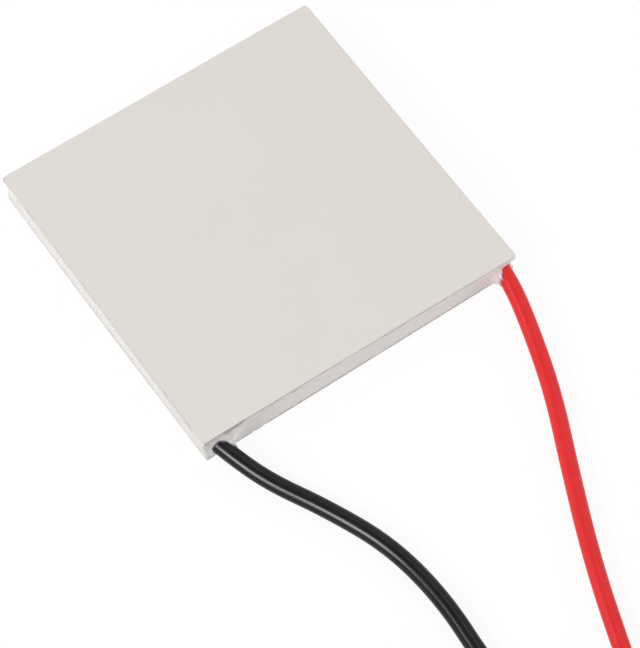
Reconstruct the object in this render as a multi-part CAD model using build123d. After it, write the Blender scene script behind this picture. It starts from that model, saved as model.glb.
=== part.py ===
from build123d import *
import math
import os

# Thermoelectric cooling module: pellets of two semiconductor types, joined in series by
# copper tabs between two ceramic plates, with a silicone seal round the edge and two leads.
# Millimetres, +Z up.  The origin is the middle of the hot face, on which the module lies.
# The cold face is on top, and both leads leave the front edge, towards -Y.

# Pellets and the grid that they stand on.  The number of cells along a side is even, so
# that the chain starts and ends at the two front corners, where a lead takes the pellet's place.
pellet_side = 1.4
pellet_height = 1.7
pellet_gap = 1.0
cells_per_side = 16

# Copper tabs, one pellet wide, each joining two neighbouring pellets
tab_thick = 0.3

# Ceramic plates
plate_thick = 0.75
plate_margin = 1.3
plate_corner_radius = 0.35

# Silicone seal between the plates
seal_recess = 0.12
seal_corner_radius = 0.9
seal_meniscus = 0.28
seal_inner_clearance = 0.2
seal_under_lead = 0.1

# Flare of silicone where a lead leaves the seal
collar_length = 1.7
collar_waist_out = 0.57
collar_root = 0.5
collar_spread = 0.6
collar_waist = 0.28
collar_lip = 0.08

# Leads: stranded tinned copper in PVC
insulation_diameter = 1.93
conductor_diameter = 0.94
insulation_in_seal = 0.7
conductor_in_insulation = 0.45
bare_end = 7.0

# Share of a route's run that the arc at either end may take
arc_share = 0.45

# Solder round the conductor on its pad
solder_side_land = 0.06
solder_front_land = 0.1
solder_over_conductor = 0.16
solder_past_conductor = 0.2
solder_to_pellet = 0.2

# The unused length of each lead is wound into a flat coil of two layers, two turns wide
coil_diameter = 20.7
coil_run_in = 3.0
coil_edge_chamfer = 0.5

pitch = pellet_side + pellet_gap
half_array = cells_per_side * pitch / 2 - pellet_gap / 2
plate_side = 2 * (half_array + plate_margin)
half_plate = plate_side / 2
hot_tab_z = plate_thick
pellet_z = hot_tab_z + tab_thick
cold_tab_z = pellet_z + pellet_height
cold_plate_z = cold_tab_z + tab_thick
plate_gap = cold_plate_z - plate_thick
conductor_on_pad = pitch - solder_to_pellet - solder_past_conductor

lying_height = insulation_diameter / 2
exit_height = plate_thick + seal_under_lead + insulation_diameter / 2
coil_outer_turn = coil_diameter / 2 + insulation_diameter / 2

# Routes are chosen by hand.  Each point is (inward, outward, lift) from the place where the
# lead crosses the plate's front edge: inward is towards the module's middle line, outward is
# away from the front edge, and lift is 1 at the exit's height and 0 for a lead lying down.
# exit_shift moves that place outward from the middle of the pad.  The run after the last
# point ends on the coil, whose centre has the same measures, and the tail leaves the coil.
leads = {
    "black": {
        "side": -1,
        "exit_shift": 0.03,
        "route": [
            (0.42, 1.8, 0.94),
            (2.06, 6.4, 0.32),
            (5.35, 12.4, 0),
            (8.25, 19.6, 0),
            (9.2, 27.6, 0),
            (8.5, 36.0, 0),
        ],
        "coil_centre": (-2.7, 45.5),
        "coil_turns": -3.5,
        "entry_angle": 0,
        "tail": [
            (-13.8, 38.4, 1.3),
            (-14.1, 33.2, 0),
            (-14.9, 28.4, 0),
        ],
    },
    "red": {
        "side": 1,
        "exit_shift": 0.4,
        "route": [
            (0.15, 1.8, 0.94),
            (1.5, 7.0, 0.3),
            (4.05, 14.6, 0),
            (8.3, 23.6, 0),
            (12.46, 33.0, 0),
            (15.9, 42.6, 0),
        ],
        "coil_centre": (8.6, 57.4),
        "coil_turns": 3.5,
        "entry_angle": 160,
        "tail": [
            (-3.5, 55.0, 1.3),
            (-4.8, 49.9, 0),
            (-5.4, 45.0, 0),
        ],
    },
}


def cell(column, row):
    """Middle of a grid cell in plan: columns count from -X and rows from the front."""
    middle = (cells_per_side - 1) / 2
    return (column - middle) * pitch, (row - middle) * pitch


def is_lead_cell(column, row):
    """The two front corner cells hold the ends of the leads and no pellet."""
    return row == 0 and column in (0, cells_per_side - 1)


def ceramic_plate(bottom):
    """One square plate with its lower face at the given height."""
    outline = RectangleRounded(plate_side, plate_side, plate_corner_radius)
    return Pos(0, 0, bottom) * extrude(outline, plate_thick)


def pellet_column(column, parity):
    """The pellets of one type in one column; the two types alternate like a chessboard."""
    pellet = Box(pellet_side, pellet_side, pellet_height)
    pellets = []
    for row in range(cells_per_side):
        if (column + row) % 2 == parity and not is_lead_cell(column, row):
            x, y = cell(column, row)
            pellets.append(Pos(x, y, pellet_z + pellet_height / 2) * pellet)
    return Compound(pellets)


def tab(first, second, bottom):
    """A copper tab over two neighbouring cells."""
    (x0, y0), (x1, y1) = cell(*first), cell(*second)
    block = Box(abs(x1 - x0) + pellet_side, abs(y1 - y0) + pellet_side, tab_thick)
    return Pos((x0 + x1) / 2, (y0 + y1) / 2, bottom + tab_thick / 2) * block


def lead_pad(column):
    """The hot side tab at a front corner, with the lead's end on its front half."""
    return tab((column, 0), (column, 1), hot_tab_z)


def hot_link_tabs(columns):
    """Tabs along the columns on the hot plate, apart from the two pads of the leads."""
    cells = [(column, row) for column in columns for row in range(0, cells_per_side, 2)]
    pairs = [(c, r) for c, r in cells if not is_lead_cell(c, r)]
    return Compound([tab((c, r), (c, r + 1), hot_tab_z) for c, r in pairs])


def cold_link_tabs(columns):
    """Tabs along the columns on the cold plate, half a step on from the hot ones."""
    pairs = [(column, row) for column in columns for row in range(1, cells_per_side - 1, 2)]
    return Compound([tab((c, r), (c, r + 1), cold_tab_z) for c, r in pairs])


def cold_turn_tabs(row, first_column):
    """Tabs across the columns on the cold plate, where the chain turns back."""
    columns = range(first_column, cells_per_side - 1, 2)
    return Compound([tab((c, row), (c + 1, row), cold_tab_z) for c in columns])


def lead_point(lead, inward, outward, height):
    """A point of a lead from its measures inward and outward of the exit."""
    pad_x, _ = cell(cells_per_side - 1, 0)
    x = lead["side"] * (pad_x + lead["exit_shift"] - inward)
    return Vector(x, -half_plate - outward, height)


def lead_exit(lead):
    """Where the lead's axis crosses the front edge of the plates."""
    return lead_point(lead, 0, 0, exit_height)


def lifted(lift):
    """Height of a lead's axis for a share of the way from lying down to the exit."""
    return lying_height + lift * (exit_height - lying_height)


def coil_middle(lead):
    """Centre of the lead's coil on the ground."""
    return lead_point(lead, *lead["coil_centre"], 0)


def coil_point(lead, angle, height):
    """A point on the outer turn, and the direction of the winding there."""
    turning = math.copysign(1, lead["coil_turns"])
    radial = Vector(math.cos(math.radians(angle)), math.sin(math.radians(angle)), 0)
    along = Vector(-radial.Y, radial.X, 0) * turning
    return coil_middle(lead) + radial * coil_outer_turn + Vector(0, 0, height), along


def lead_route(lead):
    """Points from inside the seal to the start of the coil."""
    points = [lead_point(lead, i, o, lifted(lift)) for i, o, lift in lead["route"]]
    start = lead_exit(lead)
    heading = points[0] - start
    points.insert(0, start - heading * (insulation_in_seal / abs(heading.Y)))
    touch, along = coil_point(lead, lead["entry_angle"], lying_height)
    return points + [touch - along * coil_run_in]


def tail_route(lead):
    """Points from the coil's top turn down to the free end of the insulation."""
    leaving_angle = lead["entry_angle"] + 360 * lead["coil_turns"]
    touch, along = coil_point(lead, leaving_angle, lying_height + insulation_diameter)
    points = [lead_point(lead, i, o, lying_height + height) for i, o, height in lead["tail"]]
    return [touch + along * coil_run_in] + points


def corner_radii(points):
    """The largest tangent arc that each corner's two runs leave room for."""
    radii = []
    for before, corner, after in zip(points, points[1:], points[2:]):
        one, two = corner - before, after - corner
        half_turn = math.radians(one.get_angle(two)) / 2
        radii.append(arc_share * min(one.length, two.length) / math.tan(half_turn))
    return radii


def insulation(name, points):
    """A round tube along straight runs joined by tangent arcs."""
    radii = corner_radii(points)
    path = FilletPolyline(*points, radius=radii)
    section = Plane(path @ 0, z_dir=path % 0) * Circle(insulation_diameter / 2)
    tube = sweep(section, path=path)
    whole = math.pi * (insulation_diameter / 2) ** 2 * path.length
    print(name, "radii", [round(r, 1) for r in radii], "length", round(path.length, 1))
    print(name, "volume over section times length", round(tube.volume / whole, 4))
    return tube


def coil(lead):
    """The outer shape of the coil: a ring two turns wide and two turns high."""
    width = 2 * insulation_diameter
    square = Rectangle(width, width)
    section = chamfer(square.vertices(), coil_edge_chamfer)
    section = Plane.XZ * Pos(coil_diameter / 2, insulation_diameter) * section
    middle = coil_middle(lead)
    return Pos(middle.X, middle.Y, 0) * revolve(section, Axis.Z)


def rod(start, end, diameter):
    """A round bar between two points."""
    return Plane(start, z_dir=end - start) * extrude(Circle(diameter / 2), (end - start).length)


def conductor(lead, tube):
    """The stripped strands, from the end of the insulation down onto the pad."""
    start = lead_route(lead)[0]
    _, pad_y = cell(cells_per_side - 1, 0)
    pad_front = pad_y - pellet_side / 2
    end = Vector(start.X, pad_front + conductor_on_pad, pellet_z + conductor_diameter / 2)
    inside_tube = start + (start - end).normalized() * conductor_in_insulation
    bar = rod(inside_tube, end, conductor_diameter) - tube
    downwards = (Align.CENTER, Align.CENTER, Align.MAX)
    below_pad_top = Box(plate_side, plate_side, plate_gap, align=downwards)
    return bar - Pos(0, 0, pellet_z) * below_pad_top


def solder_joint(column, strands):
    """A loaf of solder over the strands on the front half of a pad."""
    x, y = cell(column, 0)
    front = y - pellet_side / 2 + solder_front_land
    length = conductor_on_pad + solder_past_conductor - solder_front_land
    half_width = pellet_side / 2 - solder_side_land
    crown = conductor_diameter + solder_over_conductor
    foot = Line((-half_width, 0), (half_width, 0))
    top = EllipticalCenterArc((0, 0), half_width, crown, start_angle=0, arc_size=180)
    loaf = extrude(Plane.XZ * make_face(foot + top), -length)
    return Pos(x, front, pellet_z) * loaf - strands


def collar(lead):
    """The flare of silicone round a lead, in two tapers, centred on the lead's axis."""
    route = lead_route(lead)
    radius = insulation_diameter / 2
    wide, narrow = radius + collar_spread, radius + collar_lip
    waist = radius + collar_waist
    profile = make_face(
        Polyline(
            (0, -collar_root),
            (wide, -collar_root),
            (wide, 0),
            (waist, collar_waist_out),
            (narrow, collar_length),
            (0, collar_length),
            close=True,
        )
    )
    flare = revolve(Plane.XZ * profile, Axis.Z)
    return Plane(lead_exit(lead), z_dir=route[1] - route[0]) * flare


def edge_seal(plates, inserts):
    """The ring of silicone between the plates, with a hollow outer face and a collar round
    each lead, cut to fit the plates and the leads."""
    outer = plate_side - 2 * seal_recess
    inner = 2 * (half_array + seal_inner_clearance)
    outline = RectangleRounded(outer, outer, seal_corner_radius)
    ring = extrude(outline - Rectangle(inner, inner), plate_gap)
    edge = outline.wire().moved(Pos(0, 0, plate_gap / 2))
    hollow = ThreePointArc((0, plate_gap / 2), (-seal_meniscus, 0), (0, -plate_gap / 2))
    chord = Line((0, -plate_gap / 2), (0, plate_gap / 2))
    profile = make_face(hollow + chord)
    start, along = edge @ 0, edge % 0
    outward = along.cross(Vector(0, 0, 1))
    groove = sweep(Plane(start, x_dir=outward, z_dir=along) * profile, path=edge)
    seal = Pos(0, 0, plate_thick) * (ring - groove)
    for lead in leads.values():
        seal += collar(lead)
    for piece in plates + inserts:
        seal -= piece
    return seal


parts = {}
parts["hot_side_plate"] = ceramic_plate(0)
parts["cold_side_plate"] = ceramic_plate(cold_plate_z)
for column in range(cells_per_side):
    parts[f"p_pellets_column_{column + 1:02d}"] = pellet_column(column, 1)
    parts[f"n_pellets_column_{column + 1:02d}"] = pellet_column(column, 0)
half_way = cells_per_side // 2
for hand, columns in (("left", range(half_way)), ("right", range(half_way, cells_per_side))):
    parts[f"hot_link_tabs_{hand}"] = hot_link_tabs(columns)
    parts[f"cold_link_tabs_{hand}"] = cold_link_tabs(columns)
parts["cold_turn_tabs_rear"] = cold_turn_tabs(cells_per_side - 1, 0)
parts["cold_turn_tabs_front"] = cold_turn_tabs(0, 1)

inserts = []
for colour, lead in leads.items():
    column = 0 if lead["side"] < 0 else cells_per_side - 1
    winding = coil(lead)
    tube = insulation(f"{colour} lead", lead_route(lead)) - winding
    strands = conductor(lead, tube)
    tail_points = tail_route(lead)
    tail = insulation(f"{colour} tail", tail_points) - winding
    tail_end = tail_points[-1]
    tip_end = tail_end + (tail_end - tail_points[-2]).normalized() * bare_end
    parts[f"{colour}_lead_pad"] = lead_pad(column)
    parts[f"{colour}_lead_conductor"] = strands
    parts[f"{colour}_solder_joint"] = solder_joint(column, strands)
    parts[f"{colour}_lead_insulation"] = tube
    parts[f"{colour}_lead_coil"] = winding
    parts[f"{colour}_lead_tail"] = tail
    parts[f"{colour}_lead_tip"] = rod(tail_end, tip_end, conductor_diameter)
    inserts += [tube, strands]
parts["edge_seal"] = edge_seal([parts["hot_side_plate"], parts["cold_side_plate"]], inserts)

os.makedirs("parts", exist_ok=True)
for name, shape in parts.items():
    export_step(shape, f"parts/{name}.step")
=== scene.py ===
import bpy
import math
import numpy as np
from mathutils import Matrix, Vector


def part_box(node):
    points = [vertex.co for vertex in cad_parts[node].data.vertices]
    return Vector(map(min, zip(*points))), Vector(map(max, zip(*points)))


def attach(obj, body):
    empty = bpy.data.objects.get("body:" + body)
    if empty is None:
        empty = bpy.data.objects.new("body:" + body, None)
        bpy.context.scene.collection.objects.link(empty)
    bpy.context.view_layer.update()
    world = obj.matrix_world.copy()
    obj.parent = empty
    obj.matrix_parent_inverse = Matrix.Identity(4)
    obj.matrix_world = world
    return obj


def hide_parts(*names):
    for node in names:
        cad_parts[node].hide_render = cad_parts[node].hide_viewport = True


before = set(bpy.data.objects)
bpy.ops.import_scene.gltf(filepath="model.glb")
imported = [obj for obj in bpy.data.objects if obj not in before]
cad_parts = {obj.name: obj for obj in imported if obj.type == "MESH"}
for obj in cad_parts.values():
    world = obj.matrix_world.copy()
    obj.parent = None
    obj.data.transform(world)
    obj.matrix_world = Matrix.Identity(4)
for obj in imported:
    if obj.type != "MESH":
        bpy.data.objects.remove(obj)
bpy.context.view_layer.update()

MM = 0.001
ROOT = "root"
WHOLE_TURN = 2 * math.pi

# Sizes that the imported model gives, in millimetres as everything below, unless a name ends in
# _m or a call to Blender takes metres
cold_low, cold_high = [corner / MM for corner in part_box("cold_side_plate")]
hot_low, hot_high = [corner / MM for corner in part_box("hot_side_plate")]
half_plate = cold_high.x
plate_thick = hot_high.z - hot_low.z
gap_low, gap_high = hot_high.z, cold_low.z
first_pellet, _ = [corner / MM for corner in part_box("p_pellets_column_01")]
seal_inner_half = -first_pellet.x + 0.2

# Leads: the same measures as the solids have, apart from the tails, which have a point more so
# that they clear the turns and end level.  A route's point is (inward, outward, lift):
# inward of the exit towards the middle line, outward from the front edge, and lift 1 at the
# exit's height and 0 lying down.  A tail's third number is a height above lying down.
insulation_diameter = 1.93
insulation_radius = insulation_diameter / 2
insulation_in_seal = 0.7
conductor_diameter = 0.94
bare_end = 7.0
coil_diameter = 20.7
lying_height = insulation_radius
exit_height = gap_low + 0.1 + insulation_radius
lead_column_x = 18.0

leads = {
    "black": {
        "side": -1,
        "exit_shift": 0.03,
        "route": [
            (0.42, 1.8, 0.94),
            (2.06, 6.4, 0.32),
            (5.35, 12.4, 0),
            (8.25, 19.6, 0),
            (9.2, 27.6, 0),
            (8.5, 36.0, 0),
        ],
        "coil_centre": (-2.7, 45.5),
        "coil_turns": -3.5,
        "entry_angle": 0,
        "tail": [
            (-13.8, 38.4, 1.93),
            (-14.0, 35.02, 0.8),
            (-14.3, 32.0, 0),
            (-14.9, 28.4, 0),
        ],
    },
    "red": {
        "side": 1,
        "exit_shift": 0.4,
        "route": [
            (0.15, 1.8, 0.94),
            (1.5, 7.0, 0.3),
            (4.05, 14.6, 0),
            (8.3, 23.6, 0),
            (12.46, 33.0, 0),
            (15.9, 42.6, 0),
        ],
        "coil_centre": (8.6, 57.4),
        "coil_turns": 3.5,
        "entry_angle": 160,
        "tail": [
            (-3.5, 55.0, 1.93),
            (-4.34, 51.69, 0.8),
            (-4.95, 48.68, 0),
            (-5.4, 45.0, 0),
        ],
    },
}


# ---------------------------------------------------------------- camera and light

camera_aim_m = Vector((-1.314, -14.105, 1.9)) * MM
camera_distance_m = 341.22 * MM
camera_azimuth = math.radians(-31.362)
camera_elevation = math.radians(60.143)
camera_roll = math.radians(-3.247)
camera_lens = 178.49
camera_sensor = 36


def set_up_camera():
    """A long lens that looks down on the cold face, over the black lead's corner."""
    level = math.cos(camera_elevation)
    back = Vector((
        math.sin(camera_azimuth) * level,
        -math.cos(camera_azimuth) * level,
        math.sin(camera_elevation),
    ))
    side = Vector((0, 0, 1)).cross(back).normalized()
    rise = back.cross(side)
    right = side * math.cos(camera_roll) + rise * math.sin(camera_roll)
    up = back.cross(right)
    camera = bpy.data.objects.new("camera", bpy.data.cameras.new("camera"))
    camera.data.lens = camera_lens
    camera.data.sensor_width = camera_sensor
    camera.data.clip_start = 0.01
    turn = Matrix((right, up, back)).transposed().to_4x4()
    camera.matrix_world = Matrix.Translation(camera_aim_m + back * camera_distance_m) @ turn
    bpy.context.scene.collection.objects.link(camera)
    bpy.context.scene.camera = camera


surround_dark_middle = (-0.39, 0.17, 0.92)
surround_level_outside, surround_level_inside = 1.245, 0.13
surround_patch_rim = (0.36, 0.91)
surround_lean = 0.12
lamp_distance_m = 0.9
key_direction = (-0.8, -0.08, 0.6)
key_size_m = 0.34
key_watts = 3.35
window_direction = (-0.7, 0.5, 0.6)
window_size_m = 0.34
window_watts = 0.95


def softbox(name, towards, size_m, watts):
    """A square lamp that shines on the module from one direction."""
    direction = Vector(towards).normalized()
    lamp = bpy.data.objects.new(name, bpy.data.lights.new(name, "AREA"))
    lamp.data.shape = "SQUARE"
    lamp.data.size = size_m
    lamp.data.energy = watts
    lamp.location = direction * lamp_distance_m
    lamp.rotation_mode = "QUATERNION"
    lamp.rotation_quaternion = direction.to_track_quat("Z", "Y")
    bpy.context.scene.collection.objects.link(lamp)


def set_up_light():
    """A pale surround with a dark patch overhead, a soft key from the left and a dimmer window
    behind it.  The surround's strength goes smoothly from its outside level to its inside
    one as a direction turns to the middle of the dark patch: the rim gives the cosines at which
    that starts and ends.  Its strength is then multiplied by 1 - lean * x, brighter to the
    left."""
    scene = bpy.context.scene
    scene.view_settings.view_transform = "Standard"
    scene.world = bpy.data.worlds.new("surround")
    scene.world.use_nodes = True
    tree = scene.world.node_tree
    where, side = tree.nodes.new("ShaderNodeTexCoord"), tree.nodes.new("ShaderNodeVectorMath")
    side.operation = "DOT_PRODUCT"
    side.inputs[1].default_value = Vector(surround_dark_middle).normalized()
    level = tree.nodes.new("ShaderNodeMapRange")
    level.interpolation_type = "SMOOTHSTEP"
    level.inputs["From Min"].default_value = surround_patch_rim[0]
    level.inputs["From Max"].default_value = surround_patch_rim[1]
    level.inputs["To Min"].default_value = surround_level_outside
    level.inputs["To Max"].default_value = surround_level_inside
    tree.nodes["Background"].inputs["Color"].default_value = (1, 1, 1, 1)
    tree.links.new(where.outputs["Generated"], side.inputs[0])
    tree.links.new(side.outputs["Value"], level.inputs["Value"])
    lean, leant = tree.nodes.new("ShaderNodeVectorMath"), tree.nodes.new("ShaderNodeMath")
    lean.operation, leant.operation = "DOT_PRODUCT", "MULTIPLY_ADD"
    lean.inputs[1].default_value = (-surround_lean, 0, 0)
    tree.links.new(where.outputs["Generated"], lean.inputs[0])
    tree.links.new(lean.outputs["Value"], leant.inputs[0])
    tree.links.new(level.outputs[0], leant.inputs[1])
    tree.links.new(level.outputs[0], leant.inputs[2])
    tree.links.new(leant.outputs[0], tree.nodes["Background"].inputs["Strength"])
    softbox("key_softbox", key_direction, key_size_m, key_watts)
    softbox("window_softbox", window_direction, window_size_m, window_watts)


# ---------------------------------------------------------------- material nodes


class Value:
    """A number that varies over a surface.  Arithmetic on it adds Math nodes."""

    def __init__(self, finish, socket):
        self.finish = finish
        self.socket = socket

    def maths(self, operation, first, second):
        settings = {"operation": operation}
        return self.finish.node("ShaderNodeMath", settings, {0: first, 1: second})

    def __add__(self, other):
        return self.maths("ADD", self, other)

    def __sub__(self, other):
        return self.maths("SUBTRACT", self, other)

    def __rsub__(self, other):
        return self.maths("SUBTRACT", other, self)

    def __mul__(self, other):
        return self.maths("MULTIPLY", self, other)

    def __pow__(self, other):
        return self.maths("POWER", self, other)

    __radd__ = __add__
    __rmul__ = __mul__


class Finish:
    """A material: a Principled surface, and the nodes that vary it."""

    def __init__(self, name, **constants):
        self.material = bpy.data.materials.new(name)
        self.material.use_nodes = True
        self.tree = self.material.node_tree
        self.tree.nodes.clear()
        self.surface = self.tree.nodes.new("ShaderNodeBsdfPrincipled")
        self.output = self.tree.nodes.new("ShaderNodeOutputMaterial")
        self.tree.links.new(self.surface.outputs[0], self.output.inputs["Surface"])
        self.where = self.node("ShaderNodeTexCoord", {}, {}, "Object")
        for socket, value in constants.items():
            self.surface.inputs[socket.replace("_", " ").title()].default_value = value

    def node(self, kind, settings, sockets, output=0):
        """Any node: its type, its settings, which come first, and its sockets' values."""
        made = self.tree.nodes.new(kind)
        stops = settings.pop("stops", None)
        for setting, value in settings.items():
            setattr(made, setting, value)
        if stops:
            for element, (place, colour) in zip(self.ramp_elements(made, len(stops)), stops):
                element.position, element.color = place, (*colour, 1)
        for socket, value in sockets.items():
            if isinstance(value, Value):
                self.tree.links.new(value.socket, made.inputs[socket])
            else:
                made.inputs[socket].default_value = value
        return Value(self, made.outputs[output])

    def ramp_elements(self, ramp, count):
        elements = ramp.color_ramp.elements
        while len(elements) < count:
            elements.new(1)
        return elements

    def noise(self, size_mm, detail=2, roughness=0.5, stretch=(1, 1, 1)):
        """Noise between 0 and 1 whose patches are about size_mm across."""
        scaled = self.node("ShaderNodeMapping", {}, {"Vector": self.where, "Scale": stretch})
        sockets = {"Vector": scaled, "Scale": 1 / (size_mm * MM), "Detail": detail,
                   "Roughness": roughness}
        return self.node("ShaderNodeTexNoise", {}, sockets, "Fac")

    def between(self, value, low, high):
        """0 where a value is under low, 1 over high, and smooth in between."""
        sockets = {"Value": value, "From Min": low, "From Max": high}
        return self.node("ShaderNodeMapRange", {"interpolation_type": "SMOOTHSTEP"}, sockets)

    def mix(self, factor, first, second):
        """One colour where the factor is 0 and the other where it is 1."""
        sockets = {0: factor, 6: self.opaque(first), 7: self.opaque(second)}
        return self.node("ShaderNodeMix", {"data_type": "RGBA"}, sockets, 2)

    def opaque(self, colour):
        return colour if isinstance(colour, Value) else (*colour, 1)

    def attribute(self, name):
        """A number that the mesh itself carries."""
        return self.node("ShaderNodeAttribute", {"attribute_name": name}, {}, "Fac")

    def varies(self, socket, value):
        """Links a varying value to one of the surface's sockets."""
        self.tree.links.new(value.socket, self.surface.inputs[socket])

    def bump(self, height, depth_mm):
        """Raises the surface where height is 1 by depth_mm over where it is 0."""
        sockets = {"Height": height, "Strength": 1, "Distance": depth_mm * MM}
        self.varies("Normal", self.node("ShaderNodeBump", {}, sockets))

    def on(self, *pieces):
        """Puts the material on pieces and CAD nodes."""
        for piece in pieces:
            if piece.data.materials:
                piece.data.materials[0] = self.material
            else:
                piece.data.materials.append(self.material)


# ---------------------------------------------------------------- numpy surfaces


def waves(around, seed, size, counts=(1, 2, 3, 5, 8, 13)):
    """Smooth noise that repeats over 0..1: sines of whole numbers of waves, each with a
    random phase and share of the size."""
    draw = np.random.default_rng(seed)
    total = np.zeros_like(around)
    for count in counts:
        phase, share = draw.uniform(0, WHOLE_TURN), draw.uniform(0.5, 1)
        total = total + share * np.sin(WHOLE_TURN * count * around + phase)
    return size * total / math.sqrt(len(counts))


def smooth(value, low, high):
    """0 under low, 1 over high, and a smooth step in between."""
    share = np.clip((value - low) / (high - low), 0, 1)
    return share * share * (3 - 2 * share)


def put_mesh(name, points, quads, triangles=()):
    """A smooth mesh from points in millimetres.  Its faces are turned so that the signed
    volume under them is above nothing, which is so when they point outwards."""
    quads, triangles = np.asarray(quads), np.asarray(triangles, int).reshape(-1, 3)
    split = np.concatenate([quads[:, :3], quads[:, [0, 2, 3]], triangles])
    one, two, three = (points[split[:, corner]] for corner in range(3))
    if np.einsum("ij,ij->i", one, np.cross(two, three)).sum() < 0:
        quads, triangles = quads[:, ::-1], triangles[:, ::-1]
    mesh = bpy.data.meshes.new(name)
    mesh.from_pydata((points * MM).tolist(), [], quads.tolist() + triangles.tolist())
    mesh.polygons.foreach_set("use_smooth", np.ones(len(mesh.polygons), bool))
    piece = bpy.data.objects.new(name, mesh)
    bpy.context.scene.collection.objects.link(piece)
    return piece


def skin(name, rings, tube=False):
    """A closed surface over rings of points, one closed ring a row.  A tube's last ring joins
    its first; otherwise a fan to a middle point closes each end."""
    rows, columns, _ = rings.shape
    count = rows if tube else rows - 1
    row, column = np.arange(count)[:, None], np.arange(columns)[None, :]
    next_row, next_column = (row + 1) % rows, (column + 1) % columns
    corners = [
        row * columns + column,
        row * columns + next_column,
        next_row * columns + next_column,
        next_row * columns + column,
    ]
    quads = np.stack(np.broadcast_arrays(*corners), -1).reshape(-1, 4)
    points = rings.reshape(-1, 3)
    if tube:
        return put_mesh(name, points, quads)
    around, after = np.arange(columns), (np.arange(columns) + 1) % columns
    start, end = np.full(columns, len(points)), np.full(columns, len(points) + 1)
    last = (rows - 1) * columns
    fans = np.concatenate([
        np.stack([start, after, around], -1),
        np.stack([end, last + around, last + after], -1),
    ])
    points = np.concatenate([points, [rings[0].mean(0), rings[-1].mean(0)]])
    return put_mesh(name, points, quads, fans)


# ---------------------------------------------------------------- leads


def lead_point(lead, inward, outward, height):
    """A point of a lead from its measures inward and outward of the exit."""
    x = lead["side"] * (lead_column_x + lead["exit_shift"] - inward)
    return Vector((x, -half_plate - outward, height))


def lead_exit(lead):
    """Where the lead's axis crosses the front edge of the plates."""
    return lead_point(lead, 0, 0, exit_height)


# A coil's control points, and the turns run when the lead starts and ends to step in beside its
# first turn, to climb on top, and to step out again.  Each step is over before the lead comes
# round to where it lay one turn earlier, so that no turn runs through another.
coil_points_per_turn = 16
coil_narrows = (0.84, 0.965)
coil_climbs = (1.715, 1.84)
coil_widens = (2.59, 2.715)


def coil_points(lead):
    """The coil's turns: most of an outer turn and of an inner one on the ground, then of an
    inner and of an outer one on top.  The radius and the height each change over an eighth of
    a turn, and the control points stand outside the circle by 1 / cos(half a step)."""
    middle = lead_point(lead, *lead["coil_centre"], 0)
    turning = math.copysign(1, lead["coil_turns"])
    step = WHOLE_TURN / coil_points_per_turn
    count = round(abs(lead["coil_turns"]) * coil_points_per_turn)
    turned = np.arange(count + 1) / coil_points_per_turn
    outer = (coil_diameter + insulation_diameter) / 2
    inner = outer - insulation_diameter
    narrowing = smooth(turned, *coil_narrows) - smooth(turned, *coil_widens)
    radius = (outer + (inner - outer) * narrowing) / math.cos(step / 2)
    height = lying_height + insulation_diameter * smooth(turned, *coil_climbs)
    angle = math.radians(lead["entry_angle"]) + turning * WHOLE_TURN * turned
    return [
        Vector((middle.x + r * math.cos(a), middle.y + r * math.sin(a), z))
        for r, a, z in zip(radius, angle, height)
    ]


def lead_points(lead):
    """The whole lead, from inside the seal to the free end of its insulation."""
    lift = exit_height - lying_height
    points = [lead_point(lead, i, o, lying_height + s * lift) for i, o, s in lead["route"]]
    heading = points[0] - lead_exit(lead)
    start = lead_exit(lead) - heading * (insulation_in_seal / abs(heading.y))
    coil = coil_points(lead)
    tail = [lead_point(lead, i, o, lying_height + h) for i, o, h in lead["tail"]]
    return [start, *points, *coil, *tail]


def lead_cord(colour, lead):
    """One NURBS spline through the lead's points, as thick as its insulation."""
    points = lead_points(lead)
    curve = bpy.data.curves.new(f"{colour}_lead", "CURVE")
    curve.dimensions = "3D"
    curve.bevel_depth = insulation_radius * MM
    curve.bevel_resolution = 6
    curve.resolution_u = 10
    curve.use_fill_caps = True
    spline = curve.splines.new("NURBS")
    spline.points.add(len(points) - 1)
    for control, point in zip(spline.points, points):
        control.co = (*(point * MM), 1)
    spline.order_u = 3
    spline.use_endpoint_u = True
    cord = bpy.data.objects.new(f"{colour}_lead", curve)
    bpy.context.scene.collection.objects.link(cord)
    return cord


# ---------------------------------------------------------------- the leads' stripped ends

tip_strands = 12
tip_twist_pitch = 9.0
tip_groove = 0.045


def lead_tip(colour, lead):
    """The tinned end of a lead's strands.  Round its axis the radius is the conductor's, less
    a groove between each two strands: groove * |sin(strands * (angle - twist) / 2)| to a low
    power, and the twist grows evenly along it.  The grooves fill with tin towards the end,
    which closes as half a ball."""
    points = lead_points(lead)
    start, heading = points[-1], (points[-1] - points[-2]).normalized()
    across = heading.cross(Vector((0, 0, 1))).normalized()
    rise = across.cross(heading)
    radius = conductor_diameter / 2
    along = np.concatenate([[-0.6], np.linspace(0, bare_end - radius, 60)])
    ball = np.linspace(0, math.pi / 2, 8)[1:-1]
    width = np.concatenate([np.ones_like(along), np.cos(ball)])
    along = np.concatenate([along, bare_end - radius + radius * np.sin(ball)])
    angle = np.linspace(0, WHOLE_TURN, tip_strands * 8, endpoint=False)
    twist = WHOLE_TURN * along / tip_twist_pitch
    lobe = np.abs(np.sin(tip_strands * (angle[None, :] - twist[:, None]) / 2)) ** 0.6
    tinned = smooth(along, 0.45 * bare_end, 0.8 * bare_end)
    groove = tip_groove * (1 - 0.8 * tinned)[:, None] * (1 - lobe)
    reach = width[:, None] * (radius - groove)
    place = np.array(start) + along[:, None, None] * np.array(heading)
    place = place + reach[..., None] * (
        np.cos(angle)[None, :, None] * np.array(across)
        + np.sin(angle)[None, :, None] * np.array(rise)
    )
    return skin(f"{colour}_tinned_end", place)


# ---------------------------------------------------------------- ceramic plates

plate_edge_ease = 0.06

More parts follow.
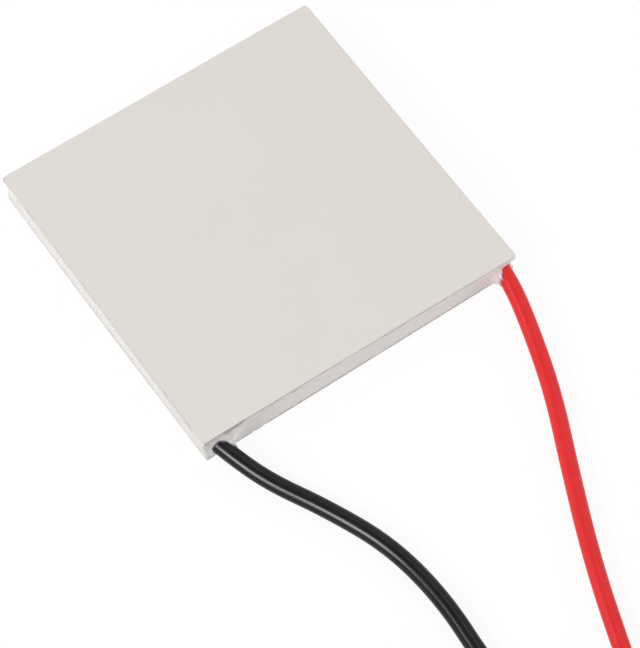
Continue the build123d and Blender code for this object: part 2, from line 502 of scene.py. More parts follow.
# Round an edge, as every list of places below: from the front edge's black end, anticlockwise
# seen from above.  0 to 0.25 is the front, then the right, the rear and the left.  Each line is
# (place, size).  Corner radii go front right, rear right, rear left, front left.
cold_corner_radii = np.array([0.2, 0.35, 0.5, 0.3])
hot_corner_radii = np.array([0.3, 0.35, 0.3, 0.12])
cold_edge_bow = [  # millimetres that the snapped edge stands out
    (0, -0.04), (0.03, -0.045), (0.05, -0.03), (0.075, -0.02), (0.1, 0.0), (0.125, 0.025),
    (0.15, 0.01), (0.175, 0.02), (0.194, 0.05), (0.206, 0.08), (0.24, 0.08), (0.25, 0.02),
    (0.256, 0.01), (0.27, -0.015), (0.3, -0.03), (0.4, -0.035), (0.46, -0.025), (0.5, -0.01),
    (0.56, 0.01), (0.6, -0.01), (0.65, -0.03), (0.69, -0.01), (0.75, 0), (1, 0),
]
hot_edge_bow = [
    (0, 0), (0.75, 0), (0.79, 0.01), (0.81, 0.04), (0.84, 0.07), (0.86, 0.05), (0.91, 0.035),
    (0.935, 0), (1, 0),
]
# Painted shade with some laser burn: how dark an edge is made, or below nothing, how much paler it
# is
cold_edge_shade_and_burn = [
    (0, 0.6), (0.012, 0.7), (0.016, 1), (0.029, 1), (0.034, 0.6), (0.2, 0.6), (0.232, 0.4),
    (0.242, -0.4), (0.25, -1), (0.256, -0.6), (0.27, 0.5), (0.5, 0.6), (0.735, 0.6),
    (0.7455, 0.3), (0.7475, -1), (0.76, -1), (0.762, 0), (0.99, 0), (0.996, 0.3), (1, 0.6),
]
# Painted shade along the cold plate's upper edge, at its right, rear and left
cold_rim_shade = [
    (0, 0), (0.25, 0.1), (0.26, 0.4), (0.5, 0.5), (0.745, 0.6), (0.7605, 0.6), (0.763, 0), (1, 0),
]
# Painted shade with some laser burn along the hot plate's side and foot, darkest at the front
hot_edge_shade_and_burn = [
    (0, 0.9), (0.25, 0.75), (0.26, 0.5), (0.5, 0.4), (0.75, 0.4), (0.99, 0.5), (1, 0.8),
]
no_rim_shade = [(0, 0), (1, 0)]
run_steps = 170
arc_steps = 8


def stations(runs):
    """Where an outline's rings have their points: for each, the side, the share of the straight
    run and the share of the arc after it.  Each side has its own shares of its run."""
    corner = np.arange(1, arc_steps + 1) / arc_steps
    side = [np.full(len(run) + arc_steps, number) for number, run in enumerate(runs)]
    run_share = [np.concatenate([run, np.ones(arc_steps)]) for run in runs]
    arc_share = [np.concatenate([np.zeros(len(run)), corner]) for run in runs]
    return np.concatenate(side), np.concatenate(run_share), np.concatenate(arc_share)


def outline(half, corner_radii, where):
    """Points and outward directions round a square with four corner radii, anticlockwise seen
    from above, from the left end of the front edge: a straight run and then an arc, and the
    same again turned by a quarter."""
    side, run_share, arc_share = where
    radii = np.broadcast_to(corner_radii, 4)
    before, after = radii[side - 1], radii[side]
    angle = arc_share * math.pi / 2
    run = 2 * half - before - after
    place = np.stack([
        before - half + run * run_share + after * np.sin(angle),
        -half + after * (1 - np.cos(angle)),
    ])
    outward = np.stack([np.sin(angle), -np.cos(angle)])
    turn = side * math.pi / 2
    spin = np.array([[np.cos(turn), -np.sin(turn)], [np.sin(turn), np.cos(turn)]])
    return np.einsum("ijn,jn->ni", spin, place), np.einsum("ijn,jn->ni", spin, outward)


def edge_chips(around, seed, count, depth):
    """Small chips at random places round an edge: each a narrow bell."""
    draw = np.random.default_rng(seed)
    place, width = draw.uniform(0, 1, count), draw.uniform(0.0005, 0.0022, count)
    share = draw.uniform(0.3, 1, count) ** 2
    gap = np.abs(around[:, None] - place)
    gap = np.minimum(gap, 1 - gap)
    return depth * (share * np.exp(-((gap / width) ** 2))).max(1)


def flat_ring(half, inset, height, where):
    """A ring on a flat face, with corners that are nearly sharp."""
    place, _ = outline(half - inset, 0.05, where)
    return np.concatenate([place, np.full((len(place), 1), height)], 1)


def round_the_edge(profile, around):
    """A size that changes evenly round the edge, from its list of places and sizes."""
    place, size = np.array(profile).T
    return np.interp(around, place, size)


hot_half = np.array([19.875, 19.925])
hot_side_turn = 0.0021
hot_front_turn = 0.0066
hot_shift = np.array([0.12, 0.042])


def as_hot_plate_lies(place):
    """Points of the cold plate's outline, moved to where the hot plate's are.  It is a little
    smaller and a quarter of a degree out of square, so that its left and right sides turn by
    one angle in radians and its front and rear by another, and it lies a tenth of a millimetre
    across."""
    turn = np.array([[1, -hot_side_turn], [hot_front_turn, 1]])
    return place * (hot_half / half_plate) @ turn.T + hot_shift


def as_cold_plate_lies(place):
    """The cold plate lies square."""
    return place


def ceramic_plate(name, low, high, seed, corner_radii, bow, shade_and_burn, rim_shade, lies):
    """A scribed and snapped ceramic plate.  Its profile goes from the middle of the lower face
    to the middle of the upper one: inset and height are a rounded rectangle's, and the side
    waves in and out by a few hundredths of a millimetre, more towards its snapped lower half.
    The eases grow where the edge has a chip.  A point attribute says how dark the edge is painted:
    some laser burn and painted shade along the arrises and the foot, and paler below nothing."""
    where = stations([np.linspace(0, 1, run_steps, endpoint=False)] * 4)
    around = np.linspace(0, 1, len(where[0]), endpoint=False)
    counts = (3, 7, 17, 41, 83, 131)
    stands = round_the_edge(bow, around)
    scribed = waves(around, seed, 0.006, counts)
    snapped = waves(around, seed + 1, 0.02, counts)
    ease_low = plate_edge_ease + edge_chips(around, seed + 2, 26, 0.16)
    ease_high = plate_edge_ease * 0.8 + edge_chips(around, seed + 3, 14, 0.11)
    thick = high - low
    flat = np.ones_like(around)
    rows = []
    for angle in np.radians([0, 22.5, 45, 67.5, 90]):
        rows.append((ease_low * (1 - math.sin(angle)), low + ease_low * (1 - math.cos(angle))))
    for share in (0.3, 0.42, 0.5, 0.58, 0.75):
        rows.append((flat * 0, flat * (low + thick * share)))
    for angle in np.radians([90, 67.5, 45, 22.5, 0]):
        rows.append((ease_high * (1 - math.sin(angle)), high - ease_high * (1 - math.cos(angle))))
    rings = [flat_ring(half_plate, inset, low, where) for inset in (1.6, 0.45)]
    for inset, height in rows:
        place, outward = outline(half_plate, corner_radii, where)
        rough = smooth(0.55 - (height - low) / thick, 0, 0.12)
        place = place + outward * (stands - inset - np.abs(scribed + snapped * rough))[:, None]
        rings.append(np.concatenate([place, height[:, None]], 1))
    rings += [flat_ring(half_plate, inset, high, where) for inset in (0.14, 0.45, 1.6)]
    rings = np.array(rings)
    rings[..., :2] = lies(rings[..., :2])
    piece = skin(name, rings)
    # Painted shade with some laser burn down the side, and painted shade on the upper edge's rows
    edge_shading = np.zeros(rings.shape[:2])
    edge_shading[2:-3] = round_the_edge(shade_and_burn, around)
    edge_shading[-8:-3] *= np.array([1, 0.7, 0.2, 0, 0])[:, None]
    rim = round_the_edge(rim_shade, around) * np.array([0, 0.6, 1, 1, 0.6])[:, None]
    edge_shading[-8:-3] = np.where(rim > 0, np.maximum(edge_shading[-8:-3], rim), edge_shading[-8:-3])
    shade = piece.data.attributes.new("edge_shade_and_burn", "FLOAT", "POINT")
    shade.data.foreach_set("value", np.append(edge_shading.ravel(), [0, 0]).astype(np.float32))
    return piece


# ---------------------------------------------------------------- silicone seal

seal_cover_high = [  # millimetres up the cold plate's side, and over its top edge
    (0, 0.03), (0.0075, 0.08), (0.0095, 0.5), (0.013, 0.5), (0.0155, 0.1), (0.029, 0.05),
    (0.0325, 0.4), (0.09, 0.4), (0.13, 0.5), (0.2, 0.42), (0.225, 0.5),
    (0.238, 0.6), (0.246, 0.3), (0.25, 0.06),
    (0.28, 0.3), (0.37, 0.2), (0.46, 0.35), (0.5, 0.05), (0.55, 0.3), (0.64, 0.15), (0.71, 0.3),
    (0.75, 0.04), (0.757, 0.1), (0.7605, 0.5), (0.7625, 0.66), (0.7735, 0.68), (0.776, 0.8),
    (0.779, 0.92), (0.85, 0.9), (0.93, 0.9), (0.985, 0.92), (0.994, 0.7), (1, 0.05),
]
seal_cover_low = [  # millimetres down the hot plate's side
    (0, 0.6), (0.03, 0.5), (0.06, 0.42), (0.13, 0.42), (0.2, 0.4), (0.23, 0.55), (0.25, 0.3),
    (0.3, 0.4), (0.37, 0.2),
    (0.45, 0.5), (0.5, 0.1), (0.58, 0.35), (0.66, 0.2), (0.72, 0.5), (0.75, 0.1), (0.8, 0.3),
    (0.86, 0.45), (0.93, 0.3), (0.985, 0.5), (1, 0.6),
]
seal_proud_low = [  # millimetres proud of the hot plate's side
    (0, 0.02), (0.03, 0.05), (0.06, 0.06), (0.2, 0.06), (0.25, 0.03), (0.5, 0.03), (0.75, 0.0),
    (0.77, 0.01), (0.8, 0.03), (0.95, 0.03), (1, 0.02),
]
seal_proud_high = [  # millimetres proud of the cold plate's side
    (0, 0.01), (0.05, 0.0), (0.13, 0.01), (0.25, 0.0), (0.5, 0.02), (0.75, 0.0), (0.76, 0.03),
    (0.7735, 0.05), (0.777, 0.09), (0.783, 0.07), (0.79, 0.08), (0.93, 0.08), (0.985, 0.08),
    (1, 0.02),
]
seal_hollow = [  # millimetres that the middle of its face is drawn in
    (0, 0.02), (0.03, 0.1), (0.07, 0.2), (0.13, 0.25), (0.2, 0.22), (0.235, 0.22), (0.26, 0.2),
    (0.37, 0.24), (0.5, 0.2), (0.62, 0.26), (0.745, 0.2), (0.755, 0.08), (0.765, 0.05),
    (0.774, 0.06), (0.779, 0.0), (0.784, 0.03), (0.93, 0.03), (1, 0.02),
]
seal_corner_radii = np.array([0.9, 0.8, 0.3, 0.18])
seal_cut_corner = np.array([-1, 1])
seal_cut_corner_radius = 3.0
seal_uncut_corner_radius = 0.35
seal_uncut_inside_radius = 0.3
seal_inner_corner_radius = 3.2

# Marks in the silicone's face: millimetres round the edge from the front edge's black end,
# height, half a length, half a width, degrees that it leans up from level, and depth, which is
# less than nothing for a bead
seal_marks = [
    (123.5, 2.85, 0.85, 0.1, 61, 0.16),
    (124.2, 3.72, 0.35, 0.09, 0, 0.1),
    (127.8, 1.87, 0.95, 0.13, -40, 0.09),
    (131.5, 2.3, 1.4, 0.35, 8, 0.05),
    (137.2, 1.6, 1.1, 0.3, -12, 0.06),
    (144.0, 2.2, 1.6, 0.3, 6, 0.05),
    (150.5, 1.7, 1.2, 0.28, -15, 0.06),
    (155.5, 2.3, 0.9, 0.25, 20, 0.06),
    (6.9, 1.7, 0.8, 0.3, 30, 0.04),
    (13.5, 2.3, 1.2, 0.3, -8, 0.03),
    (21.5, 1.9, 1.4, 0.35, 10, 0.03),
    (30.3, 2.4, 1.0, 0.3, -12, 0.03),
]
# Painted shade round the front left corner, partly the black lead seen through the silicone: how
# much greyer it is made, against the share of the way round the edge
seal_painted_shade = [
    (0, 0.9), (0.008, 0.9), (0.016, 1), (0.02, 0.3), (0.03, 0), (0.93, 0), (0.955, 0.35),
    (0.98, 0.4), (0.996, 0.5), (1, 0.9),
]
# Small beads by the leads, whitened as painted highlights: the lead, degrees round it and
# millimetres from its surface as in climbs below, the bead's half width and its height
seal_beads = [
    ("black", 46, 0.32, 0.09, 0.04),
    ("red", 46, 0.2, 0.09, 0.03),
    ("red", 118, 0.16, 0.08, 0.03),
    ("red", 63, 0.16, 0.07, 0.03),
]
film_steps = [1, 0.97, 0.91, 0.84, 0.76, 0.67, 0.56, 0.44, 0.3, 0.15]
gap_steps = 26
film_root = 0.3
film_bend = 0.08


def cut_corner(place, radius):
    """Points of an outline, drawn in to a larger radius at the rear left corner, as if a
    circle lay in the corner: those outside it move straight in to it."""
    middle = seal_cut_corner * (half_plate - radius)
    gap = (place - middle) * seal_cut_corner
    reach = np.linalg.norm(gap, axis=1)
    share = np.where((gap > 0).all(1), np.minimum(radius / np.maximum(reach, 0.01), 1), 1)
    return middle + gap * share[:, None] * seal_cut_corner


def lumps(around, height, seed, size, counts):
    """Noise over a face: waves round the edge whose phase also turns with the height."""
    draw = np.random.default_rng(seed)
    total = 0 * around + 0 * height
    for count in counts:
        phase, lean, share = draw.uniform(0, WHOLE_TURN), draw.uniform(-4, 4), draw.uniform(0.4, 1)
        total = total + share * np.sin(WHOLE_TURN * count * around + phase + lean * height)
    return size * total / math.sqrt(len(counts))


# How far along a lead the silicone climbs, round the lead: degrees from the side towards the
# module's middle line, up over the top, and (degrees, millimetres from the front edge, how
# far it spreads, and millimetres of a wider flare)
climbs = {
    "black": [(-90, 0.9, 0.3, 0), (-50, 1.7, 0.36, 0.1), (-10, 1.9, 0.4, 0.25),
              (18, 1.45, 0.5, 0.33), (50, 1.22, 0.5, 0.33), (57, 0.85, 0.4, 0.2),
              (62, 0.6, 0.3, 0.1), (80, 0.48, 0.2, 0.02), (93, 0.24, 0.2, 0),
              (121, 0.28, 0.2, 0), (144, 0.28, 0.2, 0), (157, 0.22, 0.25, 0),
              (171, 0.34, 0.3, 0), (189, 0.7, 0.3, 0), (270, 0.9, 0.3, 0)],
    "red": [(-90, 1.0, 0.3, 0), (-50, 1.6, 0.4, 0.1), (-18, 1.65, 0.42, 0.12),
            (8, 1.6, 0.42, 0.14), (26, 1.42, 0.38, 0.14), (46, 1.35, 0.3, 0.12),
            (52, 1.12, 0.26, 0.1), (61, 0.82, 0.22, 0.08), (67, 0.6, 0.2, 0.05),
            (72, 0.42, 0.2, 0.02), (79, 0.3, 0.2, 0), (93, 0.22, 0.2, 0), (138, 0.16, 0.2, 0),
            (160, 0.18, 0.2, 0), (200, 0.5, 0.25, 0), (270, 0.9, 0.3, 0)],
}
climb_flare_spread = 1.1
climb_inset = 0.12


def climb(lead, profile, across, height):
    """How far out the silicone stands at a point of the front face, and how near the lead is.
    Beyond the lead's radius it falls off as exp(-distance / spread), with a wider flare under
    it, and inside the lead it falls away to nothing."""
    exit_point = lead_exit(lead)
    inwards, up = -lead["side"] * (across - exit_point.x), height - exit_point.z
    distance = np.hypot(inwards, up)
    angle = (np.degrees(np.arctan2(up, inwards)) + 90) % 360 - 90
    degrees, *sizes = np.array(profile).T
    reach, spread, flare = (np.interp(angle, degrees, size) for size in sizes)
    beyond = np.clip(distance - insulation_radius + climb_inset, 0, None)
    stand = reach * np.exp((climb_inset - beyond) / spread)
    stand = stand + flare * np.exp(-beyond / climb_flare_spread)
    return stand * smooth(distance, 0.15, insulation_radius - climb_inset), distance


def marks(around_mm, height):
    """How deep the silicone's face is marked: each mark is a long bell, exp(-(along / length)
    ** 2 - (across / width) ** 2)."""
    depth = 0 * around_mm
    for place, level, length, width, lean, deep in seal_marks:
        lean = math.radians(lean)
        aside, up = around_mm - place, height - level
        along = aside * math.cos(lean) + up * math.sin(lean)
        across = up * math.cos(lean) - aside * math.sin(lean)
        depth = depth + deep * np.exp(-((along / length) ** 2) - (across / width) ** 2)
    return depth


def beads(colour, lead, across, height):
    """How far the beads by a lead stand out of the front face, and how strongly a highlight is
    painted there.
    """
    stand, painted_glint = 0 * across, 0 * across
    for owner, degrees, gap, width, tall in seal_beads:
        if owner == colour:
            angle, reach = math.radians(degrees), insulation_radius + gap
            x = lead_exit(lead).x - lead["side"] * reach * math.cos(angle)
            z = lead_exit(lead).z + reach * math.sin(angle)
            bell = np.exp(-((across - x) ** 2 + (height - z) ** 2) / width ** 2)
            stand, painted_glint = stand + tall * bell, np.maximum(painted_glint, bell)
    return stand, painted_glint


def seal_rows(around):
    """The seal's profile, from a feathered edge on the hot plate's side, over a hollow face
    between the plates, to a feathered edge on the cold plate's side or past its top edge.  Each
    row is (how far out, height, share of the way up the gap, how loose of the ceramic).  A low
    film stands proud by proud * sqrt(1 - share ** 2) of its way to the feathered edge, and a
    high one by proud * (1 - share ** 2.6).  The high one's way goes straight up, then round a
    quarter circle, then level over the top.  The face is a straight line less hollow *
    (1 - (2 t ** 1.4 - 1) ** 2), so that it draws in most under the cold plate."""
    ragged = lumps(around, 0, 31, 0.05, (11, 23, 37, 61, 97, 139))
    cover_high = np.clip(round_the_edge(seal_cover_high, around) + ragged, 0.03, 1.0)
    ragged = lumps(around, 0, 37, 0.06, (9, 19, 31, 53, 89, 127))
    cover_low = np.clip(round_the_edge(seal_cover_low, around) + ragged, 0.03, 0.7)
    proud_low = round_the_edge(seal_proud_low, around)
    proud_high = round_the_edge(seal_proud_high, around)
    hollow = round_the_edge(seal_hollow, around)
    gap, straight = gap_high - gap_low, plate_thick - film_bend
    rows = []
    for share in film_steps:
        film = proud_low * math.sqrt(1 - share ** 2) - 0.01 * share
        rows.append((film, gap_low - cover_low * share, 0, 1 - share ** 2))
    for t in np.linspace(0, 1, gap_steps):
        face = proud_low * (1 - t) + proud_high * t - hollow * (1 - (2 * t ** 1.4 - 1) ** 2)
        rows.append((face, gap_low + gap * t + 0 * around, t, 1))
    for share in film_steps[::-1]:
        film = proud_high * (1 - share ** 2.6) - 0.008 * share
        way = cover_high * share
        bend = np.clip((way - straight) / film_bend, 0, math.pi / 2)
        over = np.clip(way - straight - film_bend * math.pi / 2, 0, None)
        out = film * np.cos(bend) - film_bend * (1 - np.cos(bend)) - over
        height = gap_high + np.minimum(way, straight) + (film_bend + film) * np.sin(bend)
        rows.append((out, np.where(bend > 0, height, gap_high + way), 1, 1 - share ** 2))
    return rows


def seal_stations():
    """Where the seal's points stand: close together round the leads and along the left side."""
    front = np.concatenate([
        np.arange(-19.7, -14.6, 0.06), np.arange(-14.6, 15, 0.2), np.arange(15, 19.7, 0.06)])
    even = np.linspace(0, 1, 150, endpoint=False)
    left = np.concatenate([np.arange(0.3, 3.2, 0.1), np.arange(3.2, 5.2, 0.04),
                           np.arange(5.2, 10, 0.09), np.arange(10, 39.4, 0.16)])
    return stations([(front + half_plate) / (2 * half_plate), even, even, left / 40])


def seal_shade_and_light(around, place, height, facing):
    """How much painted shade greys the silicone.  Less than nothing is painted light, which it is
    at the right of the black lead, up to 4 mm from it and low down."""
    right_of_lead = place[:, 0] - lead_exit(leads["black"]).x
    painted_light = smooth(right_of_lead, 0.1, 0.9) * smooth(-right_of_lead, -4.2, -1.6)
    painted_light = painted_light * smooth(gap_high - height, -0.1, 0.9) * facing
    return round_the_edge(seal_painted_shade, around) - painted_light


def seal_inside(rings, where):
    """The rings that close the seal on the inside, from under its upper film down to the
    lower one."""
    around = 0 * where[0]
    inside = [
        (half_plate - film_root, np.minimum(rings[-1][:, 2], cold_high.z - film_root / 5)),
        (half_plate - film_root, gap_high + around),
        (seal_inner_half, gap_high + around),
        (seal_inner_half, gap_low + around),
        (half_plate - film_root, gap_low + around),
        (half_plate - film_root, rings[0][:, 2]),
    ]
    closing = []
    for half, height in inside:
        place, _ = outline(half, seal_uncut_inside_radius, where)
        place = cut_corner(place, seal_inner_corner_radius)
        closing.append(np.concatenate([place, height[:, None]], 1))
    return closing


def edge_seal():
    """The silicone between the plates.  Its rows follow the hot plate's outline low down and
    the cold plate's high up, and where a lead leaves, it climbs along the lead."""
    where = seal_stations()
    side, run_share, arc_share = where
    around = (side + np.where(arc_share > 0, 0.99 + 0.01 * arc_share, 0.99 * run_share)) / 4
    bow = round_the_edge(cold_edge_bow, around)
    lumpy = 0.012 + 0.025 * smooth(around, 0.757, 0.765) * smooth(1 - around, 0.0, 0.02)
    # Point attributes: nearness to each lead, painted highlights, and painted shade and light
    rings, shades = [], {name: [] for name in ("near_black_lead", "near_red_lead", "painted_highlight", "dull")}
    for stand, height, t, loose in seal_rows(around):
        middle = min(1, 2 * (1 - (2 * t - 1) ** 2))
        radii = hot_corner_radii * (1 - t) + cold_corner_radii * t
        radii = radii + (seal_corner_radii - radii) * middle
        place, outward = outline(half_plate, radii, where)
        around_mm = np.select([side == 0, side == 3], [half_plate + place[:, 0],
                                                       7 * half_plate - place[:, 1]], -100)
        waviness = lumps(around, 2 * height, 41, 1, (5, 13, 29, 47, 71, 113, 173)) * lumpy
        marked = marks(around_mm, height) * smooth(abs(outward).max(1), 0.9, 1)
        stand = stand + (waviness - marked) * loose + bow * t
        place = cut_corner(place, seal_uncut_corner_radius
                           + (seal_cut_corner_radius - seal_uncut_corner_radius) * t ** 2)
        place = place + outward * stand[:, None]
        place = place * t + as_hot_plate_lies(place) * (1 - t)
        ring = np.concatenate([place, height[:, None]], 1)
        front_face = smooth(-outward[:, 1], 0.2, 0.8)
        facing = front_face * loose ** 0.5
        painted_highlight = 0 * around
        for colour, lead in leads.items():
            out, distance = climb(lead, climbs[colour], place[:, 0], height)
            stand, painted_glint = beads(colour, lead, place[:, 0], height)
            heading = lead_points(lead)[1] - lead_exit(lead)
            ring = ring + ((out + stand) * facing)[:, None] * np.array(heading / abs(heading.y))
            near = np.exp(-np.clip(distance - insulation_radius, 0, None) / 0.5)
            shades[f"near_{colour}_lead"].append(near * front_face)
            painted_highlight = np.maximum(painted_highlight, painted_glint * facing)
        shades["painted_highlight"].append(painted_highlight)
        shades["dull"].append(seal_shade_and_light(around, place, height, facing))
        rings.append(ring)
    closing = seal_inside(rings, where)
    for values in shades.values():
        values.extend([0 * around] * len(closing))
    piece = skin("silicone_seal", np.array(rings + closing), tube=True)
    for name, values in shades.items():
        shade = piece.data.attributes.new(name, "FLOAT", "POINT")
        shade.data.foreach_set("value", np.array(values).ravel().astype(np.float32))
    return piece


# ---------------------------------------------------------------- finishes


def alumina():
    """Sintered white ceramic: even and matt, with faint clouds and fine grain, and darker along
    its edges, where some laser burn and painted shade are put in its colour."""
    made = Finish("alumina", roughness=0.62)
    clouds = made.noise(9, 3, 0.55)
    grain = made.noise(0.12, 3, 0.6)
    specks = made.between(made.noise(0.35, 0, 0.5), 0.78, 0.82)
    pale = made.mix(clouds, (0.778, 0.731, 0.688), (0.803, 0.757, 0.714))
    pale = made.mix(made.between(grain, 0.3, 0.7) * 0.07, pale, (0.70, 0.655, 0.615))
    pale = made.mix(specks * 0.08, pale, (0.52, 0.47, 0.42))
    # Painted shade with some laser burn on the edges, and paler at two corners where the attribute
    # is below nothing
    burnt_and_shaded = made.mix(made.noise(0.8, 3, 0.6), (0.32, 0.30, 0.285), (0.45, 0.425, 0.405))
    edge_shading = made.attribute("edge_shade_and_burn")
    pale = made.mix(made.between(edge_shading, 0, -1), pale, (0.87, 0.86, 0.845))
    made.varies("Base Color", made.mix(made.between(edge_shading, 0, 1) * 0.9, pale, burnt_and_shaded))
    made.varies("Roughness", 0.56 + 0.14 * grain)
    made.bump(grain * 0.7 + made.noise(0.5, 2) * 0.3, 0.004)
    return made


def silicone():
    """White sealant: smooth and a little glossy, faintly mottled warm and cool, with a lead's
    colour showing through it, painted shade as a dark line where it meets a lead and round the
    front left corner, painted light right of the black lead, and painted highlights on small
    beads."""
    made = Finish("silicone", roughness=0.34)
    made.surface.inputs["Specular IOR Level"].default_value = 0.4
    made.surface.inputs["Subsurface Weight"].default_value = 0.35
    made.surface.inputs["Subsurface Radius"].default_value = (1, 0.8, 0.7)
    made.surface.inputs["Subsurface Scale"].default_value = 0.6 * MM
    clouds = made.noise(1.6, 3, 0.6)
    milky = made.mix(clouds, (0.690, 0.664, 0.636), (0.750, 0.727, 0.707))
    rosy = made.between(made.noise(2.3, 2, 0.5), 0.5, 0.72)
    milky = made.mix(rosy * 0.3, milky, (0.79, 0.71, 0.70))
    cool = made.between(made.noise(1.9, 2, 0.5, (0.9, 1.1, 1)), 0.54, 0.76)
    milky = made.mix(cool * 0.3, milky, (0.68, 0.71, 0.66))
    black, red = made.attribute("near_black_lead"), made.attribute("near_red_lead")
    dull = made.attribute("dull")
    # Painted shade round the front left corner, partly the black lead seen through, and painted
    # light right of the black lead
    milky = made.mix(made.between(dull, 0, 1), milky, (0.595, 0.575, 0.555))
    milky = made.mix(made.between(dull, 0, -1), milky, (0.90, 0.885, 0.87))
    milky = made.mix(made.between(black, 0.45, 0.95) * 0.4, milky, (0.50, 0.48, 0.56))
    milky = made.mix((red ** 1.2) * 0.55, milky, (0.74, 0.46, 0.49))
    # Painted shade: a dark line where the silicone meets each lead
    milky = made.mix(made.between(black, 0.7, 0.95) * 0.95, milky, (0.05, 0.045, 0.07))
    milky = made.mix(made.between(red, 0.66, 0.94) * 0.95, milky, (0.42, 0.005, 0.02))
    # Painted highlights: the beads by the leads made nearly white
    milky = made.mix(made.attribute("painted_highlight"), milky, (0.97, 0.97, 0.97))
    made.varies("Base Color", milky)
    wet = made.between(black + red, 0.4, 0.8)
    made.varies("Roughness", 0.27 + 0.16 * clouds - 0.14 * wet)
    made.bump(made.noise(0.45, 2, 0.5) * 0.6 + made.noise(0.14, 1, 0.5) * 0.4, 0.008)
    return made


def pvc(name, deep, pale, gloss, shine):
    """Soft plastic insulation: a little gloss that breaks up along it, a shine that shows only
    where it faces the eye, and a dusty bloom."""
    made = Finish(name, roughness=gloss)
    made.surface.inputs["Specular IOR Level"].default_value = 0.2
    bloom = made.between(made.noise(2.2, 3, 0.6), 0.35, 0.75)
    made.varies("Base Color", made.mix(bloom * 0.6, deep, pale))
    patches = made.noise(0.5, 2, 0.6)
    glancing = made.node("ShaderNodeLayerWeight", {}, {"Blend": 0.35}, "Facing")
    made.varies("Roughness", gloss - 0.08 + 0.16 * patches + 0.25 * glancing ** 2)
    made.bump(patches * 0.7 + made.noise(0.22, 1, 0.5) * 0.3, 0.007)
    made.surface.inputs["Coat Roughness"].default_value = 0.28
    made.varies("Coat Weight", shine * made.between(glancing, 0.14, 0.07))
    return made


def metal(name, bright, dull, roughness, grain_mm, depth_mm):
    """A metal with a dull film in patches over the bright surface, and a fine grain."""
    made = Finish(name, metallic=1)
    grain = made.noise(grain_mm, 3, 0.6)
    film = made.between(made.noise(grain_mm * 6, 3, 0.6), 0.4, 0.7)
    made.varies("Base Color", made.mix(film, bright, dull))
    made.varies("Roughness", roughness + 0.25 * film * grain)
    made.bump(grain, depth_mm)
    return made


def semiconductor(name, bright, dull):
    """Sawn bismuth telluride: dark metallic grey with flat crystal facets and saw lines."""
    made = Finish(name, metallic=0.85)
    facets = made.node("ShaderNodeTexVoronoi", {}, {"Vector": made.where, "Scale": 1 / (0.3 * MM)},
                       "Color")
    shade = made.node("ShaderNodeSeparateXYZ", {}, {0: facets}, 0)
    made.varies("Base Color", made.mix(shade, bright, dull))
    made.varies("Roughness", 0.32 + 0.25 * shade)
    saw = made.node("ShaderNodeTexWave", {"bands_direction": "Z"}, {
        "Vector": made.where, "Scale": 1 / (0.5 * MM), "Distortion": 1.5, "Detail": 2}, "Fac")
    made.bump(saw, 0.004)
    return made


floor_half_m = 1.5
floor_drop_m = 0.00003
floor_matt, floor_glow, floor_lit = 0.13, 0.89, 0.8


def floor():
    """A wide pale floor that stays white to the camera, apart from the module's shadow."""
    made = bpy.data.materials.new("floor")
    made.use_nodes = True
    nodes, links = made.node_tree.nodes, made.node_tree.links
    nodes.clear()
    path = nodes.new("ShaderNodeLightPath")
    seen, either = nodes.new("ShaderNodeMath"), nodes.new("ShaderNodeMath")
    seen.operation = either.operation = "MAXIMUM"
    links.new(path.outputs["Is Camera Ray"], seen.inputs[0])
    links.new(path.outputs["Is Glossy Ray"], seen.inputs[1])
    links.new(seen.outputs[0], either.inputs[0])
    links.new(path.outputs["Is Transmission Ray"], either.inputs[1])
    matt, glow = nodes.new("ShaderNodeBsdfDiffuse"), nodes.new("ShaderNodeEmission")
    matt.inputs["Color"].default_value = (floor_matt, floor_matt, floor_matt, 1)
    glow.inputs["Color"].default_value = (1, 1, 1, 1)
    glow.inputs["Strength"].default_value = floor_glow
    both, plain = nodes.new("ShaderNodeAddShader"), nodes.new("ShaderNodeBsdfDiffuse")
    plain.inputs["Color"].default_value = (floor_lit, floor_lit, floor_lit, 1)
    links.new(matt.outputs[0], both.inputs[0])
    links.new(glow.outputs[0], both.inputs[1])
    choose, output = nodes.new("ShaderNodeMixShader"), nodes.new("ShaderNodeOutputMaterial")
    links.new(either.outputs[0], choose.inputs[0])
    links.new(plain.outputs[0], choose.inputs[1])
    links.new(both.outputs[0], choose.inputs[2])
    links.new(choose.outputs[0], output.inputs["Surface"])
    half = floor_half_m
    mesh = bpy.data.meshes.new("floor")
    mesh.from_pydata([(-half, -half, 0), (half, -half, 0), (half, half, 0), (-half, half, 0)],
                     [], [(0, 1, 2, 3)])
    mesh.transform(Matrix.Translation((0, 0, -floor_drop_m)))
    mesh.materials.append(made)
    piece = bpy.data.objects.new("floor", mesh)
    bpy.context.scene.collection.objects.link(piece)


# ---------------------------------------------------------------- the module


def belongs(piece, slot, finish, *nodes):
    """A new piece takes a finish, rides on the module and stands for its nodes.  Its slot is not
    used.
    """
    finish.on(piece)
    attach(piece, ROOT)
    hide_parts(*nodes)


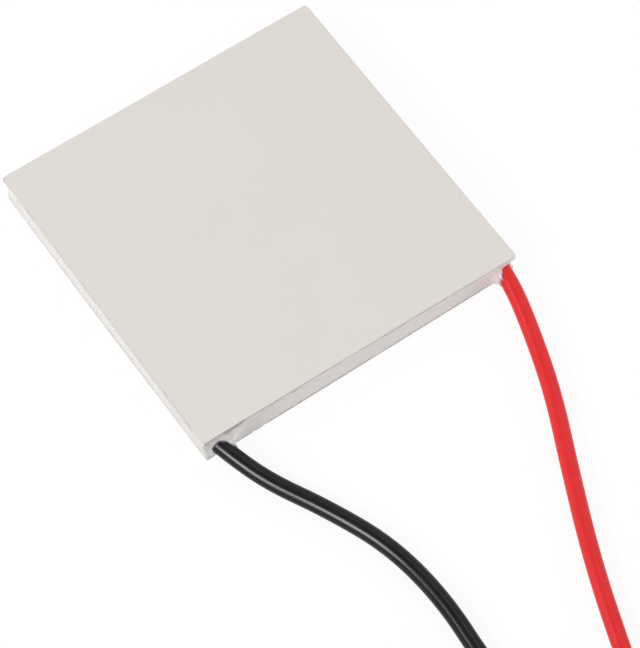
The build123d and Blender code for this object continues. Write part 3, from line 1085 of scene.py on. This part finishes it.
set_up_camera()
set_up_light()
floor()
ceramic, sealant = alumina(), silicone()
coats = {
    "black": pvc("black_pvc", (0.004, 0.004, 0.005), (0.012, 0.012, 0.013), 0.24, 1),
    "red": pvc("red_pvc", (0.78, 0.026, 0.03), (0.82, 0.036, 0.036), 0.33, 0.3),
}
strands = metal("tinned_strands", (0.82, 0.81, 0.79), (0.55, 0.54, 0.52), 0.28, 0.2, 0.006)
solder = metal("solder", (0.78, 0.77, 0.76), (0.5, 0.5, 0.5), 0.3, 0.25, 0.008)
copper = metal("copper", (0.88, 0.45, 0.3), (0.45, 0.2, 0.12), 0.3, 0.2, 0.004)
pellet_finish = {
    "p": semiconductor("p_semiconductor", (0.30, 0.30, 0.31), (0.16, 0.16, 0.17)),
    "n": semiconductor("n_semiconductor", (0.36, 0.35, 0.34), (0.21, 0.2, 0.2)),
}

hot_plate = ceramic_plate("hot_ceramic_plate", hot_low.z, hot_high.z, 5, hot_corner_radii,
                          hot_edge_bow, hot_edge_shade_and_burn, no_rim_shade, as_hot_plate_lies)
belongs(hot_plate, "alumina", ceramic, "hot_side_plate")
cold_plate = ceramic_plate("cold_ceramic_plate", cold_low.z, cold_high.z, 9, cold_corner_radii,
                           cold_edge_bow, cold_edge_shade_and_burn, cold_rim_shade, as_cold_plate_lies)
belongs(cold_plate, "alumina", ceramic, "cold_side_plate")
belongs(edge_seal(), "silicone", sealant, "edge_seal")
for name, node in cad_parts.items():
    if "_pellets_" in name:
        pellet_finish[name[0]].on(node)
    elif "tabs" in name or name.endswith("_pad"):
        copper.on(node)
    elif name.endswith("_joint"):
        solder.on(node)
    elif name.endswith("_conductor"):
        strands.on(node)

for colour, lead in leads.items():
    tip = lead_tip(colour, lead)
    belongs(tip, "tinned_strands", strands, f"{colour}_lead_tip")
    cord = lead_cord(colour, lead)
    belongs(cord, f"{colour}_pvc", coats[colour], f"{colour}_lead_insulation",
            f"{colour}_lead_coil", f"{colour}_lead_tail")
    tuple(lead_exit(lead) * MM)

bpy.context.view_layer.update()
